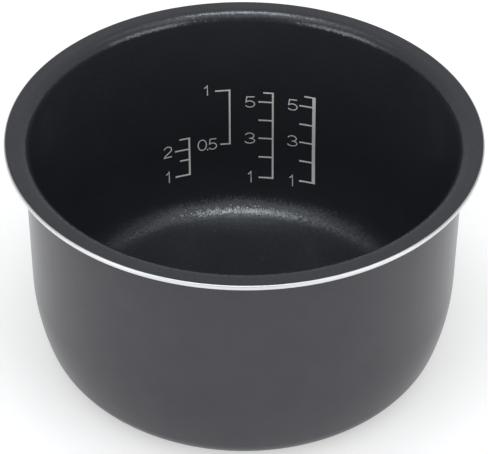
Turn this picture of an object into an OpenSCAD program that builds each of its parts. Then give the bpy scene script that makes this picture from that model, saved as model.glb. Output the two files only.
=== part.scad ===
// Inner cooking pan of a 5.5 cup (1.0 litre) electric rice cooker.
// A drawn aluminium shell with a bare turned edge and contact face, a grey coat
// outside, a black non-stick lining inside and four printed water-level scales.
// Millimetres. The origin is the centre of the base, +Z is up, and the scales
// face -Y from the wall on the +Y side.

/* [Shell] */
// outside diameter of the flange
rim_diameter = 212; // [200:1:230]
// height from the contact face to the top of the metal flange
pan_height = 115.5; // [105:0.5:130]
// thickness of the drawn aluminium sheet
sheet = 2.2; // [1.5:0.1:3.5]
// radius of the turned corners on the flange's bare edge
edge_round = 0.6; // [0.2:0.1:0.7]

/* [Flange and wall] */
// width of the flange outside the wall
flange_width = 8.6; // [6:0.1:12]
// outside radius of the bend between wall and flange
bend_r = 3.2; // [1.5:0.1:4.5]

/* [Base] */
// radius of the slow curve that gathers the wall in
sweep_r = 105; // [70:1:130]
// angle that the slow curve turns through, in degrees
sweep_angle = 16.5; // [13:0.5:26]
// radius of the tight curve into the base
corner_r = 18; // [14:0.2:24]

/* [Coats] */
// thickness of the lining and of the outer coat
coat = 0.12; // [0.1:0.01:0.2]
// thickness of the printed ink
ink = 0.1; // [0.08:0.01:0.15]

/* [Water-level scales] */
// height of a printed level line
line_w = 1; // [0.6:0.1:1.5]
// length of a numbered line, from the middle of its bar
line_reach = 7.4; // [6:0.1:9]
// length of a line without a number
short_reach = 5; // [3:0.1:6]
// sideways place of the white rice bar
white_x = 34.8; // [30:0.1:37]
// width of the white rice bar, which is the bold one
white_bar = 1.8; // [1.2:0.1:2.4]
// sideways place of the sushi rice bar
sushi_x = 14.4; // [10:0.1:18]
// sideways place of the porridge bar
porridge_x = -7.1; // [-12:0.1:-4]
// sideways place of the oatmeal bar
oatmeal_x = -27.2; // [-32:0.1:-24]
// width of the three thinner bars
thin_bar = 1.1; // [0.8:0.1:1.6]
// millilitres of rice and water at no cups, white rice
white_start = 124; // [80:1:160]
// millilitres of rice and water at no cups, sushi rice
sushi_start = 103; // [60:1:140]
// millilitres that one more cup of rice adds with its water
cup = 315; // [280:1:340]
// millilitres of rice and water at no cups, porridge
porridge_start = 20; // [0:5:100]
// millilitres that one more cup of porridge rice adds with its water
porridge_cup = 1850; // [1600:10:2000]
// millilitres of oats and water at the numbered oatmeal lines
oatmeal_numbered = [519, 924]; // [400:1:1300]
// millilitres of oats and water at the oatmeal lines without a number
oatmeal_short = [752, 1112]; // [400:1:1300]

/* [Hidden] */

$fn = 180;
corner_steps = 11;
sweep_steps = 8;
bend_steps = 8;
// the outer coat stops this many steps short of the contact face
bare_steps = 2;

rim_r = rim_diameter / 2;
wall_r = rim_r - flange_width;        // outside of the upright wall
flat_r = rim_r - edge_round;          // where the flange stops being flat
under_z = pan_height - sheet;         // underside of the flange
inside = sheet + coat;                // depth of the lining's face behind the outside

// centres of the three curves of the section
bend_c = [wall_r + bend_r, under_z - bend_r];
sweep_c = [wall_r - sweep_r, corner_r + (sweep_r - corner_r) * sin(sweep_angle)];
corner_c = sweep_c + (sweep_r - corner_r) * [cos(sweep_angle), -sin(sweep_angle)];

// points on a curve that the wall runs round on its outer side
function curve(c, r, a0, a1, steps, first) =
    [for (i = [first:steps]) let (a = a0 + (a1 - a0) * i / steps) c + r * [cos(a), -sin(a)]];

// the section's outer face moved d inwards, from the base out to the wall
function lower_face(d, first = 0) = concat(
    curve(corner_c, corner_r - d, 90, sweep_angle, corner_steps, first),
    curve(sweep_c, sweep_r - d, sweep_angle, 0, sweep_steps, 1));

// the bend from the wall out to the flange
function upper_face(d) =
    [for (p = curve([0, 0], bend_r + d, 0, 90, bend_steps, 0)) bend_c - p];

function face(d, first = 0) = concat(lower_face(d, first), upper_face(d));

function back(points) = [for (i = [len(points) - 1:-1:0]) points[i]];

// the two turned corners of the bare edge, from the underside up
function turned_edge() = concat(
    [for (i = [0:3]) [flat_r, under_z + edge_round] + edge_round * [sin(30 * i), -cos(30 * i)]],
    [for (i = [0:3]) [flat_r, pan_height - edge_round] + edge_round * [cos(30 * i), sin(30 * i)]]);

// inside radius of the pan at height z
function inside_radius(z) =
    z < corner_c.y - (corner_r - inside) * sin(sweep_angle)
        ? corner_c.x + sqrt(pow(corner_r - inside, 2) - pow(corner_c.y - z, 2))
    : z < sweep_c.y
        ? sweep_c.x + sqrt(pow(sweep_r - inside, 2) - pow(sweep_c.y - z, 2))
    : wall_r - inside;

// height that a volume in millilitres fills the pan to, found in slices 1 mm deep
function level(ml, i = 0) =
    let (slice = PI * pow(inside_radius(inside + i + 0.5), 2) / 1000)
    ml <= slice ? inside + i + ml / slice : level(ml - slice, i + 1);

function rice_level(start, cups) = level(start + cups * cup);

// the drawn shell, with a flat contact face and a bare edge
module pan_body() {
    color("#c9cbce")
        rotate_extrude()
            polygon(concat([[0, 0]], face(0), turned_edge(), back(face(sheet)), [[0, sheet]]));
}

// grey coat over the flange's underside, the wall and the curve below it
module outer_coating() {
    color("#4e4d52")
        rotate_extrude()
            polygon(concat(face(-coat, bare_steps), [[flat_r, under_z - coat], [flat_r, under_z]],
                           back(face(0, bare_steps))));
}

// black lining over the whole inside, the bend and the top of the flange
module nonstick_lining() {
    color("#242428")
        rotate_extrude()
            polygon(concat([[0, sheet]], face(sheet),
                           [[flat_r, pan_height], [flat_r, pan_height + coat]],
                           back(face(inside)), [[0, inside]]));
}

// keeps the children's artwork as ink on the lining's wall
module printed() {
    intersection() {
        rotate_extrude()
            polygon(concat(lower_face(inside), [upper_face(inside)[0], upper_face(inside + ink)[0]],
                           back(lower_face(inside + ink))));
        union() children();
    }
}

// a straight mark, pressed on to the wall along +Y
module mark(x0, x1, z0, z1) {
    translate([x0, 0, z0]) cube([x1 - x0, rim_r, z1 - z0]);
}

// an upright bar with a line to its left at each level
module level_scale(x, bar, numbered, unnumbered) {
    levels = concat(numbered, unnumbered);
    color("#b4b6b8")
        printed() {
            mark(x - bar / 2, x + bar / 2, min(levels) - line_w / 2, max(levels) + line_w / 2);
            for (z = numbered) mark(x - line_reach, x, z - line_w / 2, z + line_w / 2);
            for (z = unnumbered) mark(x - short_reach, x, z - line_w / 2, z + line_w / 2);
        }
}

module white_rice_scale() {
    level_scale(white_x, white_bar,
                [for (cups = [1:5]) rice_level(white_start, cups)], [rice_level(white_start, 5.5)]);
}

module sushi_rice_scale() {
    level_scale(sushi_x, thin_bar,
                [for (cups = [1:5]) rice_level(sushi_start, cups)], [rice_level(sushi_start, 5.5)]);
}

module porridge_scale() {
    level_scale(porridge_x, thin_bar,
                [level(porridge_start + porridge_cup)], [level(porridge_start + porridge_cup / 2)]);
}

module oatmeal_scale() {
    level_scale(oatmeal_x, thin_bar,
                [for (ml = oatmeal_numbered) level(ml)], [for (ml = oatmeal_short) level(ml)]);
}

pan_body();
outer_coating();
nonstick_lining();
white_rice_scale();
sushi_rice_scale();
porridge_scale();
oatmeal_scale();
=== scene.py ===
"""A rice cooker's inner cooking pan: bare turned edge, grey coat, black lining and printed scales."""
import math

import bpy
from mathutils import Matrix, Vector


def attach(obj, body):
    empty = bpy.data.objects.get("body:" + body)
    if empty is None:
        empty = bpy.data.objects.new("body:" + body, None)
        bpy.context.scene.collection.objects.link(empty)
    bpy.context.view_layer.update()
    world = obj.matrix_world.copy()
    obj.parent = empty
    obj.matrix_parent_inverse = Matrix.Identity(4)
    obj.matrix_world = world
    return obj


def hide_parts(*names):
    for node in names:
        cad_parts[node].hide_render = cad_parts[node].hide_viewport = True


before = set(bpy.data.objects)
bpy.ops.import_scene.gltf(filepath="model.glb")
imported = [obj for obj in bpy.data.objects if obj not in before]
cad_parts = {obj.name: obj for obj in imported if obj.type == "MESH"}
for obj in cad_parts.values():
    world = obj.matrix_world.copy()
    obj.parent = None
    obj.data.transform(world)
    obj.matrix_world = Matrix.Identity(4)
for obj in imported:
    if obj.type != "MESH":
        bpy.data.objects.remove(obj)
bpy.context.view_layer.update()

# ------------------------------------------------------------ sizes in millimetres
# the pan's, as in the part's source
RIM_R = 106.0
HEIGHT = 115.5
SHEET = 2.2
EDGE_ROUND = 0.6
FLANGE = 8.6
BEND_R = 3.2
SWEEP_R = 105.0
SWEEP_ANGLE = math.radians(16.5)
CORNER_R = 18.0
COAT = 0.12
# the outer coat's first angle on the corner, which leaves the contact face bare
COAT_START = math.radians(78)

WALL_R = RIM_R - FLANGE
FLAT_R = RIM_R - EDGE_ROUND
UNDER_Z = HEIGHT - SHEET
INSIDE = SHEET + COAT
BEND_C = (WALL_R + BEND_R, UNDER_Z - BEND_R)
SWEEP_C = (WALL_R - SWEEP_R, CORNER_R + (SWEEP_R - CORNER_R) * math.sin(SWEEP_ANGLE))
CORNER_C = (SWEEP_C[0] + (SWEEP_R - CORNER_R) * math.cos(SWEEP_ANGLE), CORNER_R)

MM_PER_M = 1000
MM3_PER_ML = 1000

# how finely the section and the turned solids are divided
AROUND = 288
CORNER_STEPS = 22
SWEEP_STEPS = 14
WALL_STEPS = 10
BEND_STEPS = 14
EDGE_STEPS = 6
BASE_RINGS = 12
SHARP_ANGLE = math.radians(35)

# millilitres at no cups, and what one more cup adds
WHITE_START = 124
SUSHI_START = 103
CUP = 315
PORRIDGE_START = 20
PORRIDGE_CUP = 1850
OATMEAL_NUMBERED = (519, 924)
OATMEAL_SHORT = (752, 1112)
CUPS_NUMBERED = (1, 2, 3, 4, 5)
CUPS_SHORT = 5.5

# the ink as it looks on the wall
WHITE_X, SUSHI_X, PORRIDGE_X, OATMEAL_X = 34.5, 14.2, -7.25, -27.5
BOLD_BAR, THIN_BAR = 1.6, 0.9
LINE_W = 0.8
LINE_REACH, SHORT_REACH = 7.1, 4.75
LINE_OVERLAP = 0.02
# the print sits this much above its levels, and a leaning bar is in place at this height
RISE = 0.3
LEAN_AT = 45
# the white rice scale's first and last lines are a little higher still
FIRST_RISE, LAST_RISE = 0.3, 0.25
# the ink stands this proud of the lining, and reaches this far into it
INK_LIFT, INK_SINK = 0.06, 0.03
# about the size of the cells in a line's mesh, along and up the wall
CELL_X, CELL_Z = 0.8, 1.5


def inside_radius(z):
    """Radius of the pan's inside at height z."""
    if z < CORNER_R - (CORNER_R - INSIDE) * math.sin(SWEEP_ANGLE):
        return CORNER_C[0] + math.sqrt((CORNER_R - INSIDE) ** 2 - (CORNER_R - z) ** 2)
    if z < SWEEP_C[1]:
        return SWEEP_C[0] + math.sqrt((SWEEP_R - INSIDE) ** 2 - (SWEEP_C[1] - z) ** 2)
    return WALL_R - INSIDE


def level(millilitres):
    """Height that a volume fills the pan to, found in slices 1 mm deep."""
    depth = 0
    while True:
        slice_volume = math.pi * inside_radius(INSIDE + depth + 0.5) ** 2 / MM3_PER_ML
        if millilitres <= slice_volume:
            return INSIDE + depth + millilitres / slice_volume
        millilitres -= slice_volume
        depth += 1


def curve(centre, radius, start, end, steps, first=0):
    """Points (radius, height) on an arc, with its angles measured from outwards to downwards."""
    points = []
    for i in range(first, steps + 1):
        a = start + (end - start) * i / steps
        points.append((centre[0] + radius * math.cos(a), centre[1] - radius * math.sin(a)))
    return points


def between(a, b, steps):
    """The points inside a straight line from a to b."""
    return [(a[0] + (b[0] - a[0]) * i / steps, a[1] + (b[1] - a[1]) * i / steps) for i in range(1, steps)]


def face(depth, start=math.radians(90)):
    """The section's outer face moved inwards by depth, from the base to the flange."""
    low = curve(CORNER_C, CORNER_R - depth, start, SWEEP_ANGLE, CORNER_STEPS)
    low += curve(SWEEP_C, SWEEP_R - depth, SWEEP_ANGLE, 0, SWEEP_STEPS, 1)
    bend = curve((0, 0), BEND_R + depth, 0, math.pi / 2, BEND_STEPS)
    top = [(BEND_C[0] - x, BEND_C[1] - z) for x, z in bend]
    return low + between(low[-1], top[0], WALL_STEPS) + top


# ------------------------------------------------------------ meshes
def new_piece(name, verts, faces, finish, slot, node_name=None):
    """A piece on the pan's body from vertices in millimetres."""
    mesh = bpy.data.meshes.new(name)
    mesh.from_pydata([(x / MM_PER_M, y / MM_PER_M, z / MM_PER_M) for x, y, z in verts], [], faces)
    mesh.validate()
    mesh.shade_smooth()
    mesh.set_sharp_from_angle(angle=SHARP_ANGLE)
    mesh.materials.append(finish)
    piece = bpy.data.objects.new(name, mesh)
    bpy.context.collection.objects.link(piece)
    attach(piece, "root")
    if node_name:
        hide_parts(node_name)


def turned(section):
    """A closed solid of revolution from a closed section of (radius, height) points."""
    verts, faces, rings = [], [], []
    for r, z in section:
        first = len(verts)
        if r == 0:
            rings.append([first] * AROUND)
            verts.append((0.0, 0.0, z))
            continue
        rings.append(list(range(first, first + AROUND)))
        for k in range(AROUND):
            a = 2 * math.pi * k / AROUND
            verts.append((r * math.cos(a), r * math.sin(a), z))
    for low, high in zip(rings, rings[1:] + rings[:1]):
        for k in range(AROUND):
            n = (k + 1) % AROUND
            # at the axis two corners are one, and the face is a triangle
            corners = list(dict.fromkeys((low[k], low[n], high[n], high[k])))
            if len(corners) > 2:
                faces.append(tuple(corners))
    return verts, faces


def on_wall(x, z, lift):
    """A point of the inner wall, pressed along +Y, lifted off the lining."""
    r = inside_radius(z) - lift
    return (x * r / inside_radius(z), math.sqrt(max(r * r - x * x, 0.0)), z)


def ribbon(rows):
    """Closed thin ink from rows of (x, z) points that run across a stroke."""
    verts, faces = [], []
    long, wide = len(rows), len(rows[0])
    for lift in (INK_LIFT, -INK_SINK):
        for row in rows:
            verts += [on_wall(x, z, lift) for x, z in row]

    def top(i, j):
        return i * wide + j

    def under(i, j):
        return long * wide + i * wide + j

    for i in range(long - 1):
        for j in range(wide - 1):
            faces.append((top(i, j), top(i, j + 1), top(i + 1, j + 1), top(i + 1, j)))
            faces.append((under(i, j), under(i + 1, j), under(i + 1, j + 1), under(i, j + 1)))
        for j in (0, wide - 1):
            side = (top(i, j), top(i + 1, j), under(i + 1, j), under(i, j))
            faces.append(side if j == 0 else side[::-1])
    for i in (0, long - 1):
        for j in range(wide - 1):
            end = (top(i, j), under(i, j), under(i, j + 1), top(i, j + 1))
            faces.append(end if i == 0 else end[::-1])
    return verts, faces


def joined(parts):
    """One mesh from several."""
    verts, faces = [], []
    for part_verts, part_faces in parts:
        faces += [tuple(i + len(verts) for i in corners) for corners in part_faces]
        verts += part_verts
    return verts, faces


def bar(x0, x1, z0, z1):
    """Rows of (x, z) points over a rectangle of the wall."""
    across = max(1, round((x1 - x0) / CELL_X))
    up = max(1, round((z1 - z0) / CELL_Z))
    return [[(x0 + (x1 - x0) * i / across, z0 + (z1 - z0) * j / up) for i in range(across + 1)]
            for j in range(up + 1)]


# ------------------------------------------------------------ numerals
NUMERAL_H = 6.85
PEN_W = 0.52
DOT_W = 1.5 * PEN_W
# a bend's corner is drawn out to this many half widths at most
MITRE_LIMIT = 2


def unit(x, z):
    size = math.hypot(x, z)
    return (x / size, z / size)


def stroke(points, width):
    """Rows across a pen stroke of even width along (x, z) points, with butt ends and mitred bends."""
    ways = [unit(b[0] - a[0], b[1] - a[1]) for a, b in zip(points, points[1:])]
    rows = []
    for point, before, after in zip(points, ways[:1] + ways, ways + ways[-1:]):
        across = unit(-(before[1] + after[1]), before[0] + after[0])
        turn = across[0] * -before[1] + across[1] * before[0]
        half = width / 2 / max(1 / MITRE_LIMIT, turn)
        offsets = [(across[0] * half * s, across[1] * half * s) for s in (-1, 0, 1)]
        rows.append([(point[0] + x, point[1] + z) for x, z in offsets])
    return rows


def bow(centre_x, centre_z, radius_x, radius_z, start, end, steps=18):
    """Points on an arc of an ellipse, with its angles in degrees."""
    angles = [math.radians(start + (end - start) * i / steps) for i in range(steps + 1)]
    return [(centre_x + radius_x * math.cos(a), centre_z + radius_z * math.sin(a)) for a in angles]


# each numeral's width and its pen lines, in a box 1 high
NUMERALS = {
    "0": (0.70, [bow(0.36, 0.5, 0.29, 0.45, 90, 450, 32)]),
    "1": (0.42, [[(0.09, 0.72), (0.21, 0.79), (0.31, 0.93), (0.31, 0.07)]]),
    "2": (0.70, [bow(0.345, 0.68, 0.265, 0.27, 165, -18, 16)
                 + [(0.50, 0.47), (0.33, 0.33), (0.16, 0.19), (0.09, 0.05), (0.63, 0.05)]]),
    "3": (0.70, [bow(0.33, 0.715, 0.24, 0.235, 165, -90, 19)
                 + bow(0.33, 0.265, 0.275, 0.215, 90, -165, 19)[1:]]),
    "5": (0.70, [[(0.60, 0.95), (0.17, 0.95), (0.115, 0.50)]
                 + bow(0.335, 0.32, 0.27, 0.27, 130, -152, 22)]),
    ".": (0.05, [[(0.03, 0.00), (0.03, 0.10)]]),
}


def number(text, middle_x, middle_z, widening):
    """The strokes of a number with its middle at (middle_x, middle_z)."""
    em_x = NUMERAL_H * widening
    left = middle_x - sum(NUMERALS[c][0] for c in text) * em_x / 2
    strokes = []
    for c in text:
        width, lines = NUMERALS[c]
        for line in lines:
            points = [(left + x * em_x, middle_z + (z - 0.5) * NUMERAL_H) for x, z in line]
            strokes.append(stroke(points, DOT_W if c == "." else PEN_W))
        left += width * em_x
    return strokes


# ------------------------------------------------------------ shader nodes
def material(name):
    made = bpy.data.materials.new(name)
    made.use_nodes = True
    return made, made.node_tree, made.node_tree.nodes["Principled BSDF"]


def set_inputs(tree, node, inputs):
    """Link an input where it is given a socket, and otherwise set its value."""
    for key, value in inputs.items():
        if isinstance(value, bpy.types.NodeSocket):
            tree.links.new(value, node.inputs[key])
        else:
            node.inputs[key].default_value = value


def new_node(tree, kind, inputs, **settings):
    """A node's output sockets, after its inputs and settings are filled in."""
    node = tree.nodes.new(kind)
    for key, value in settings.items():
        setattr(node, key, value)
    set_inputs(tree, node, inputs)
    return node.outputs


def place_on_object(tree):
    return new_node(tree, "ShaderNodeTexCoord", {})["Object"]


def noise(tree, place, scale, detail):
    return new_node(tree, "ShaderNodeTexNoise", {"Vector": place, "Scale": scale, "Detail": detail})["Fac"]


def calculate(tree, operation, a, b):
    return new_node(tree, "ShaderNodeMath", {0: a, 1: b}, operation=operation)[0]


def length(tree, vector):
    return new_node(tree, "ShaderNodeVectorMath", {0: vector}, operation="LENGTH")["Value"]


def spread(tree, value, low, high, start=0.0, end=1.0):
    """A value that runs from low to high while another one runs from start to end."""
    inputs = {"Value": value, "From Min": start, "From Max": end, "To Min": low, "To Max": high}
    return new_node(tree, "ShaderNodeMapRange", inputs)["Result"]


def choose(tree, pick, a, b):
    """a where pick is 0, and b where it is 1."""
    return new_node(tree, "ShaderNodeMix", {"Factor": pick, "A": a, "B": b})["Result"]


def two_colours(tree, value, start, first, end, last):
    """A colour that runs from first to last while a value runs from start to end."""
    ramp = tree.nodes.new("ShaderNodeValToRGB")
    tree.links.new(value, ramp.inputs["Fac"])
    for stop, position, colour in zip(ramp.color_ramp.elements, (start, end), (first, last)):
        stop.position = position
        stop.color = (*colour, 1)
    return ramp.outputs["Color"]


def bumped(tree, height, strength, distance, **normal):
    inputs = {"Height": height, "Strength": strength, "Distance": distance, **normal}
    return new_node(tree, "ShaderNodeBump", inputs)["Normal"]


# ------------------------------------------------------------ materials
def grey_coat():
    """Dark grey coat, smooth, with a faint mottle."""
    made, tree, shader = material("grey_coat")
    place = place_on_object(tree)
    fine = noise(tree, place, 1700.0, 2.0)
    soft = noise(tree, place, 60.0, 3.0)
    dark, pale = (0.0348, 0.0318, 0.0385), (0.0424, 0.0388, 0.0463)
    mottle = calculate(tree, "MULTIPLY", calculate(tree, "ADD", fine, soft), 0.5)
    set_inputs(tree, shader, {
        "Base Color": two_colours(tree, mottle, 0.35, dark, 0.65, pale),
        "Roughness": spread(tree, soft, 0.17, 0.22),
        "IOR": 1.46,
        "Normal": bumped(tree, fine, 0.12, 0.0001),
    })
    return made


def black_lining():
    """Black non-stick coat full of fine flakes, each with its own lean and gloss."""
    made, tree, shader = material("black_lining")
    place = place_on_object(tree)
    dark, pale = (0.0232, 0.0241, 0.0288), (0.0258, 0.0268, 0.0318)
    grain = noise(tree, place, 1800.0, 1.0)
    soft = noise(tree, place, 45.0, 2.0)
    flakes = new_node(tree, "ShaderNodeTexVoronoi", {"Vector": place, "Scale": 2300.0})["Color"]
    chance = new_node(tree, "ShaderNodeSeparateXYZ", {"Vector": flakes})
    # most flakes lie nearly flat, and the rest lean more
    steepness = spread(tree, chance["Y"], 0.11, 0.29, start=0.4)
    way = new_node(tree, "ShaderNodeVectorMath", {0: flakes, 1: (0.5, 0.5, 0.5)}, operation="SUBTRACT")[0]
    lean = new_node(tree, "ShaderNodeVectorMath", {0: way, "Scale": steepness}, operation="SCALE")[0]
    normal = new_node(tree, "ShaderNodeNewGeometry", {})["Normal"]
    leaning = new_node(tree, "ShaderNodeVectorMath", {0: normal, 1: lean}, operation="ADD")[0]
    facing = new_node(tree, "ShaderNodeVectorMath", {0: leaning}, operation="NORMALIZE")[0]
    set_inputs(tree, shader, {
        "Base Color": two_colours(tree, soft, 0.3, dark, 0.7, pale),
        "Roughness": spread(tree, chance["X"], 0.09, 0.23),
        "IOR": 1.60,
        "Normal": bumped(tree, grain, 0.3, 0.0001, Normal=facing),
    })
    return made


def bare_aluminium():
    """Bare metal with fine marks that run round the pan's axis."""
    made, tree, shader = material("bare_aluminium")
    place = place_on_object(tree)
    dark, pale = (0.76, 0.755, 0.765), (0.82, 0.815, 0.825)
    parts = new_node(tree, "ShaderNodeSeparateXYZ", {"Vector": place})
    flat = new_node(tree, "ShaderNodeCombineXYZ", {"X": parts["X"], "Y": parts["Y"]})[0]
    across = new_node(tree, "ShaderNodeCombineXYZ", {"X": length(tree, flat), "Y": parts["Z"]})[0]
    marks = noise(tree, across, 2200.0, 2.0)
    haze = noise(tree, place, 35.0, 3.0)
    set_inputs(tree, shader, {
        "Base Color": two_colours(tree, haze, 0.3, dark, 0.7, pale),
        "Metallic": 1.0,
        "Roughness": spread(tree, marks, 0.38, 0.50),
        "Normal": bumped(tree, marks, 0.35, 0.00005),
    })
    return made


def scale_ink():
    """Dull, slightly grainy, warm white ink."""
    made, tree, shader = material("scale_ink")
    dark, pale = (0.84, 0.82, 0.775), (0.95, 0.93, 0.88)
    grain = noise(tree, place_on_object(tree), 1600.0, 2.0)
    set_inputs(tree, shader, {
        "Base Color": two_colours(tree, grain, 0.3, dark, 0.7, pale),
        "Roughness": 0.6,
        "Normal": bumped(tree, grain, 0.2, 0.00005),
    })
    return made


# ------------------------------------------------------------ the shell and its coats
def turned_edge():
    """The two turned corners of the flange's bare edge, from the underside up."""
    angles = [math.radians(90 * i / EDGE_STEPS) for i in range(EDGE_STEPS + 1)]
    low_z, high_z = UNDER_Z + EDGE_ROUND, HEIGHT - EDGE_ROUND
    low = [(FLAT_R + EDGE_ROUND * math.sin(a), low_z - EDGE_ROUND * math.cos(a)) for a in angles]
    high = [(FLAT_R + EDGE_ROUND * math.cos(a), high_z + EDGE_ROUND * math.sin(a)) for a in angles]
    return low + high


def base_disc(z):
    """Points from the axis out to where the corner begins."""
    return [(CORNER_C[0] * k / BASE_RINGS, z) for k in range(BASE_RINGS)]


shell = base_disc(0.0) + face(0) + turned_edge() + face(SHEET)[::-1] + base_disc(SHEET)[::-1]
new_piece("drawn_shell", *turned(shell), bare_aluminium(), "bare_aluminium", "pan_body")

coat = face(-COAT, COAT_START) + [(FLAT_R, UNDER_Z - COAT), (FLAT_R, UNDER_Z)] + face(0, COAT_START)[::-1]
new_piece("outer_coat", *turned(coat), grey_coat(), "grey_coat", "outer_coating")

lining = base_disc(SHEET) + face(SHEET) + [(FLAT_R, HEIGHT), (FLAT_R, HEIGHT + COAT)]
lining += face(INSIDE)[::-1] + base_disc(INSIDE)[::-1]
new_piece("inner_lining", *turned(lining), black_lining(), "black_lining", "nonstick_lining")

# ------------------------------------------------------------ printed scales
INK = scale_ink()


def scale(name, node_name, x, bar_w, lean, drop, numbered, short, numbers):
    """A bar that leans to the left by lean, with lines that drop to the left by drop, and its numbers.

    numbered and short are the lines' heights. A number is its text, its middle's x and z, and its widening.
    """
    def printed(rows):
        return ribbon([[(px - lean * (pz - LEAN_AT), pz + RISE + drop * (px - x)) for px, pz in row]
                       for row in rows])

    half = LINE_W / 2
    line_end = x - bar_w / 2 + LINE_OVERLAP
    marks = [bar(x - bar_w / 2, x + bar_w / 2, min(numbered + short) - half, max(numbered + short) + half)]
    marks += [bar(x - LINE_REACH, line_end, z - half, z + half) for z in numbered]
    marks += [bar(x - SHORT_REACH, line_end, z - half, z + half) for z in short]
    new_piece(name, *joined([printed(rows) for rows in marks]), INK, "scale_ink", node_name)
    strokes = [rows for entry in numbers for rows in number(*entry)]
    new_piece(name + "_numbers", *joined([printed(rows) for rows in strokes]), INK, "scale_ink")


white = [level(WHITE_START + CUP * cups) for cups in CUPS_NUMBERED]
white_last = level(WHITE_START + CUP * CUPS_SHORT)
scale("white_rice_print", "white_rice_scale", WHITE_X, BOLD_BAR, lean=0.0174, drop=0.05,
      numbered=[white[0] + FIRST_RISE] + white[1:], short=[white_last + LAST_RISE],
      numbers=[("5", 24.1, white[4] - 0.1, 1.24), ("3", 24.05, white[2] + 0.2, 1.27),
               ("1", 23.4, white[0] - 0.1, 1.0)])

sushi = [level(SUSHI_START + CUP * cups) for cups in CUPS_NUMBERED]
scale("sushi_rice_print", "sushi_rice_scale", SUSHI_X, THIN_BAR, lean=0.011, drop=0.018,
      numbered=sushi, short=[level(SUSHI_START + CUP * CUPS_SHORT)],
      numbers=[("5", 2.95, sushi[4] - 0.15, 1.28), ("3", 2.85, sushi[2] - 0.05, 1.3),
               ("1", 2.6, sushi[0] + 0.2, 1.0)])

# the porridge scale's lower line is the short one, and has a number too
porridge = level(PORRIDGE_START + PORRIDGE_CUP)
half_porridge = level(PORRIDGE_START + PORRIDGE_CUP / 2)
scale("porridge_print", "porridge_scale", PORRIDGE_X, THIN_BAR, lean=0.006, drop=0.01,
      numbered=[porridge], short=[half_porridge],
      numbers=[("1", -18.8, porridge + 0.8, 1.0), ("0.5", -18.45, half_porridge + 0.6, 1.04)])

oatmeal = [level(ml) for ml in OATMEAL_NUMBERED]
scale("oatmeal_print", "oatmeal_scale", OATMEAL_X, THIN_BAR, lean=0.010, drop=0.0,
      numbered=oatmeal, short=[level(ml) for ml in OATMEAL_SHORT],
      numbers=[("1", -38.45, oatmeal[0] + 0.8, 1.0), ("2", -38.1, oatmeal[1] + 0.8, 1.0)])

# ------------------------------------------------------------ camera, at the photograph's angle
IMAGE_W = 488
FOCAL_PIXELS = 2051.8
SENSOR = 36.0
CAMERA_PLACE = (0, -0.73376, 0.65122)
# how far the camera looks down, and turns about its own view, in radians
LOOK_DOWN = 0.67754
ROLL = 0.0067

cam = bpy.data.objects.new("camera", bpy.data.cameras.new("camera"))
bpy.context.collection.objects.link(cam)
cam.data.sensor_width = SENSOR
cam.data.lens = SENSOR * FOCAL_PIXELS / IMAGE_W
cam.data.shift_x = 0.0007
cam.data.shift_y = 0.0010
cam.data.clip_start = 0.01
cam.data.clip_end = 100
cam.matrix_world = (Matrix.Translation(CAMERA_PLACE) @ Matrix.Rotation(math.pi / 2 - LOOK_DOWN, 4, "X")
                    @ Matrix.Rotation(ROLL, 4, "Z"))
bpy.context.scene.camera = cam
bpy.context.scene.view_settings.view_transform = "Standard"

# ------------------------------------------------------------ floor, world and lights
FLOOR_HALF = 6
FLOOR_CORNERS = ((-1, -1), (1, -1), (1, 1), (-1, 1))
# how much of the floor's white a shiny surface sees
GLOSSY_SHARE = 0.15
# the floor's white near the object and far from it, and the distances where it changes, in metres
WHITE_NEAR, WHITE_FAR = 0.44, 1.0
NEAR, FAR = 0.5, 1.6
# the world's light on dull surfaces, and on shiny ones from low behind the camera and from elsewhere
WORLD_LIGHT = 0.58
ROOM_LOW, ROOM_HIGH = 0.1, 0.42
ROOM_START, ROOM_END = -0.85, -0.4
LAMP_AIM = (0, 0, 0.08)


def pale_floor():
    """A plain floor, which looks white to the camera and keeps the object's shadow."""
    made, tree, shader = material("floor")
    ray = new_node(tree, "ShaderNodeLightPath", {})
    camera = ray["Is Camera Ray"]
    # the camera sees a paler shadow than the one the object stands in
    lit, shown = (0.90, 0.885, 0.875), (0.645, 0.635, 0.625)
    set_inputs(tree, shader, {
        "Base Color": two_colours(tree, camera, 0.0, lit, 1.0, shown),
        "Roughness": 0.9,
        "Specular IOR Level": 0.0,
    })
    shiny = calculate(tree, "MULTIPLY", ray["Is Glossy Ray"], GLOSSY_SHARE)
    seen = calculate(tree, "MAXIMUM", camera, shiny)
    seen = calculate(tree, "MAXIMUM", seen, ray["Is Transmission Ray"])
    distance = length(tree, place_on_object(tree))
    white_level = spread(tree, distance, WHITE_NEAR, WHITE_FAR, NEAR, FAR)
    strength = calculate(tree, "MULTIPLY", seen, white_level)
    glow = new_node(tree, "ShaderNodeEmission", {"Color": (1, 1, 1, 1), "Strength": strength})[0]
    both = new_node(tree, "ShaderNodeAddShader", {0: shader.outputs[0], 1: glow})[0]
    set_inputs(tree, tree.nodes["Material Output"], {"Surface": both})

    mesh = bpy.data.meshes.new("floor")
    corners = [(x * FLOOR_HALF, y * FLOOR_HALF, 0) for x, y in FLOOR_CORNERS]
    mesh.from_pydata(corners, [], [(0, 1, 2, 3)])
    mesh.materials.append(made)
    floor = bpy.data.objects.new("floor", mesh)
    bpy.context.collection.objects.link(floor)


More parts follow.
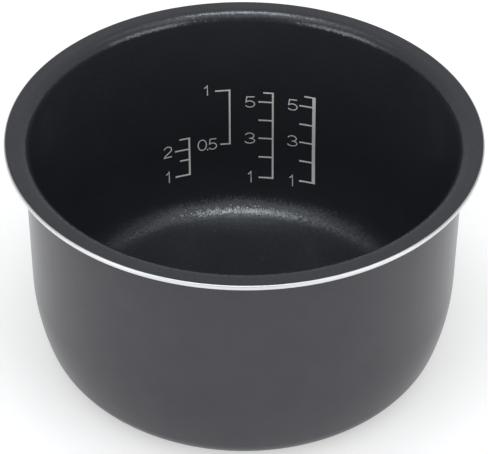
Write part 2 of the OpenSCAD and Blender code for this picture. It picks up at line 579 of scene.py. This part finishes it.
def studio_world():
    """White to the camera, plain soft light on dull surfaces, and a dimmer room in shiny ones."""
    world = bpy.data.worlds.new("studio")
    bpy.context.scene.world = world
    world.use_nodes = True
    tree = world.node_tree
    tree.nodes.clear()
    ray = new_node(tree, "ShaderNodeLightPath", {})
    # shiny surfaces see a room that is dimmer low down behind the camera
    view = new_node(tree, "ShaderNodeTexCoord", {})["Generated"]
    away = new_node(tree, "ShaderNodeSeparateXYZ", {"Vector": view})["Y"]
    room = spread(tree, away, ROOM_LOW, ROOM_HIGH, ROOM_START, ROOM_END)
    light = choose(tree, ray["Is Glossy Ray"], WORLD_LIGHT, room)
    clear = calculate(tree, "MAXIMUM", ray["Is Camera Ray"], ray["Is Transmission Ray"])
    strength = choose(tree, clear, light, 1.0)
    backdrop = new_node(tree, "ShaderNodeBackground", {"Color": (1, 1, 1, 1), "Strength": strength})[0]
    new_node(tree, "ShaderNodeOutputWorld", {"Surface": backdrop})


def softbox(name, place, size, power, tint, shape="RECTANGLE"):
    """An area lamp that faces the pan."""
    lamp = bpy.data.lights.new(name, "AREA")
    lamp.shape = shape
    lamp.size, lamp.size_y = size
    lamp.energy = power
    lamp.color = tint
    holder = bpy.data.objects.new(name, lamp)
    bpy.context.collection.objects.link(holder)
    back = Vector(place) - Vector(LAMP_AIM)
    holder.matrix_world = Matrix.Translation(place) @ back.to_track_quat("Z", "Y").to_matrix().to_4x4()


pale_floor()
studio_world()
# each lamp's place, size and power are in metres and watts
softbox("top_softbox", (-0.02, -0.08, 1.3), (0.57, 0.36), 3.5, (0.88, 0.95, 1.0), "ELLIPSE")
softbox("overhead_softbox", (0.0, 0.0, 1.45), (1.7, 0.8), 2.6, (0.86, 0.94, 1.0))
softbox("front_softbox", (0.0, -0.70, 1.48), (2.0, 0.84), 3.75, (0.78, 0.90, 1.0))
softbox("low_softbox", (0.0, -1.19, 1.14), (0.50, 0.36), 0.42, (0.80, 0.91, 1.0))
for side in (-1, 1):
    softbox("side_softbox", (1.05 * side, -0.85, 0.44), (0.9, 0.80), 5.6, (0.97, 0.98, 1.0))
